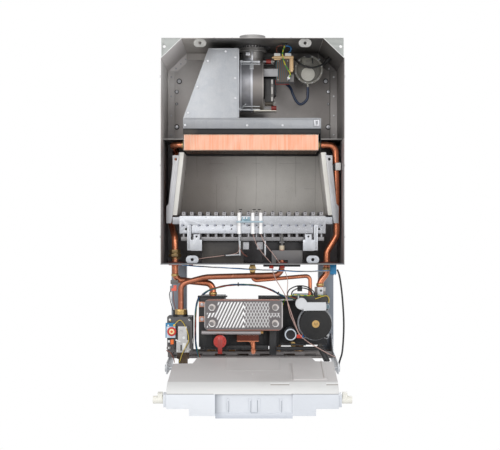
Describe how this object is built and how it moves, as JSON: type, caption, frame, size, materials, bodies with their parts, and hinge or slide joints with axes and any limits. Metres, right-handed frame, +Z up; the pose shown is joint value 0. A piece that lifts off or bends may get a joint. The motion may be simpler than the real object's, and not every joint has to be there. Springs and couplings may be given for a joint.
{
  "type": "wall-hung combi boiler",
  "caption": "Wall-hung room-sealed combi boiler opened for service: flue fan, copper exchanger, burner, hydraulic group and a control box that swings down.",
  "frame": {"origin": "midway between the two wall fixing holes, on the wall face", "axes": "+X to the right seen from the front, +Y to the wall, +Z up"},
  "size_m": [0.441, 0.4615, 0.8527],
  "materials": {
    "rail_paint": "satin blue-grey",
    "plated_plate": "zinc plated",
    "dark_steel": "dark satin",
    "chamber_sheet": "galvanised, warm grey",
    "zinc_sheet": "bright zinc",
    "rivet_steel": "satin",
    "vessel_red": "satin",
    "cast_grey": "cast, dull",
    "wheel_steel": "plated",
    "motor_stack": "laminated steel",
    "coil_beige": "bobbin with windings",
    "rubber_red": "matt",
    "switch_grey": "matt",
    "fin_copper": "fine copper fins",
    "tin_sheet": "tinned sheet",
    "insulation": "ceramic fibre board",
    "burner_steel": "stainless, heat tinted",
    "ceramic": "glazed ceramic",
    "copper_pipe": "drawn copper",
    "nut_brass": "machined",
    "grommet_rubber": "red-brown",
    "valve_body": "dark cast",
    "valve_fittings": "coil and screws",
    "block_plastic": "glass filled moulding",
    "exchanger_steel": "pressed plates",
    "relief_brass": "machined",
    "cap_red": "moulded",
    "fitting_mix": "plated and moulded fittings",
    "pump_grey": "painted light grey",
    "pump_black": "satin black",
    "wheel_plastic": "moulded",
    "arm_steel": "zinc plated",
    "cover_plastic": "warm grey moulding",
    "fascia_plastic": "pale bezel",
    "board_green": "circuit board",
    "knob_grey": "moulded",
    "button_plastic": "moulded",
    "catch_cream": "moulded",
    "wire_sleeve": "insulated wires"
  },
  "bodies": {
    "boiler": {"frame_rail_left": "rail_paint", "frame_rail_right": "rail_paint", "frame_top_plate": "plated_plate", "frame_bottom_bar": "dark_steel", "chamber_back": "chamber_sheet", "chamber_left": "chamber_sheet", "chamber_right": "chamber_sheet", "chamber_top": "chamber_sheet", "chamber_bottom": "dark_steel", "chamber_corners": "chamber_sheet", "chamber_shelves": "dark_steel", "cover_tabs": "zinc_sheet", "chamber_rivets": "rivet_steel", "expansion_vessel": "vessel_red", "flue_spigot": "cast_grey", "flue_hood": "zinc_sheet", "hood_screws": "rivet_steel", "fan_housing": "cast_grey", "fan_motor": "motor_stack", "fan_coil": "coil_beige", "fan_mounts": "rubber_red", "pressure_switch": "switch_grey", "heat_exchanger": "fin_copper", "exchanger_casing": "tin_sheet", "fire_boards": "insulation", "fire_shell": "tin_sheet", "burner_blades": "burner_steel", "burner_front_plate": "zinc_sheet", "burner_brackets": "zinc_sheet", "gas_rail": "cast_grey", "electrodes": "ceramic", "flow_pipe": "copper_pipe", "return_pipe": "copper_pipe", "gas_pipe": "copper_pipe", "thin_pipe": "copper_pipe", "pipe_grommets": "grommet_rubber", "pipe_nuts": "nut_brass", "gas_valve": "valve_body", "gas_valve_fittings": "valve_fittings", "water_block": "block_plastic", "plate_exchanger": "exchanger_steel", "relief_valve": "relief_brass", "block_fittings": "fitting_mix", "pump_housing": "pump_grey", "pump_motor": "pump_black", "connection_tails": "nut_brass", "hinge_arms": "arm_steel", "held_cables": "wire_sleeve", "box_harness": "wire_sleeve"},
    "control_box": {"box_rear_cover": "cover_plastic", "box_fascia": "fascia_plastic", "circuit_board": "board_green"},
    "heating_knob": {"knob_heating": "knob_grey"},
    "water_knob": {"knob_water": "knob_grey"},
    "reset_key": {"reset_button": "button_plastic"},
    "catch_left": {"box_catch_left": "catch_cream"},
    "catch_right": {"box_catch_right": "catch_cream"},
    "fan_rotor": {"fan_wheel": "wheel_steel"},
    "pump_rotor": {"pump_wheel": "wheel_plastic"},
    "relief_lever": {"relief_cap": "cap_red"}
  },
  "joints": [
    {"name": "box_hinge", "type": "hinge", "parent": "boiler", "child": "control_box", "pos_m": [0, -0.265, -0.75], "axis": [-1, 0, 0], "range_deg": [0, 101], "deforming": ["box_harness"]},
    {"name": "heating_knob_turn", "type": "hinge", "parent": "control_box", "child": "heating_knob", "pos_m": [-0.103, -0.36572, -0.80766], "axis": [0, -0.1942, 0.981], "range_deg": [0, 270]},
    {"name": "water_knob_turn", "type": "hinge", "parent": "control_box", "child": "water_knob", "pos_m": [0.106, -0.36572, -0.80766], "axis": [0, -0.1942, 0.981], "range_deg": [0, 270]},
    {"name": "reset_press", "type": "slide", "parent": "control_box", "child": "reset_key", "axis": [0, -0.1942, 0.981], "range_m": [0, 0.003], "stiffness_N_per_m": 400},
    {"name": "catch_left_turn", "type": "hinge", "parent": "control_box", "child": "catch_left", "pos_m": [-0.19, -0.44669, -0.79515], "axis": [1, 0, 0], "range_deg": [0, 90]},
    {"name": "catch_right_turn", "type": "hinge", "parent": "control_box", "child": "catch_right", "pos_m": [0.19, -0.44669, -0.79515], "axis": [1, 0, 0], "range_deg": [0, 90]},
    {"name": "fan_spin", "type": "hinge", "parent": "boiler", "child": "fan_rotor", "pos_m": [0, -0.13, -0.112], "axis": [1, 0, 0], "continuous": true},
    {"name": "pump_spin", "type": "hinge", "parent": "boiler", "child": "pump_rotor", "pos_m": [0.141, -0.18, -0.655], "axis": [0, 1, 0], "continuous": true},
    {"name": "relief_turn", "type": "hinge", "parent": "boiler", "child": "relief_lever", "pos_m": [-0.0727, -0.222, -0.6946], "axis": [0, -1, 0], "range_deg": [0, 90]}
  ]
}
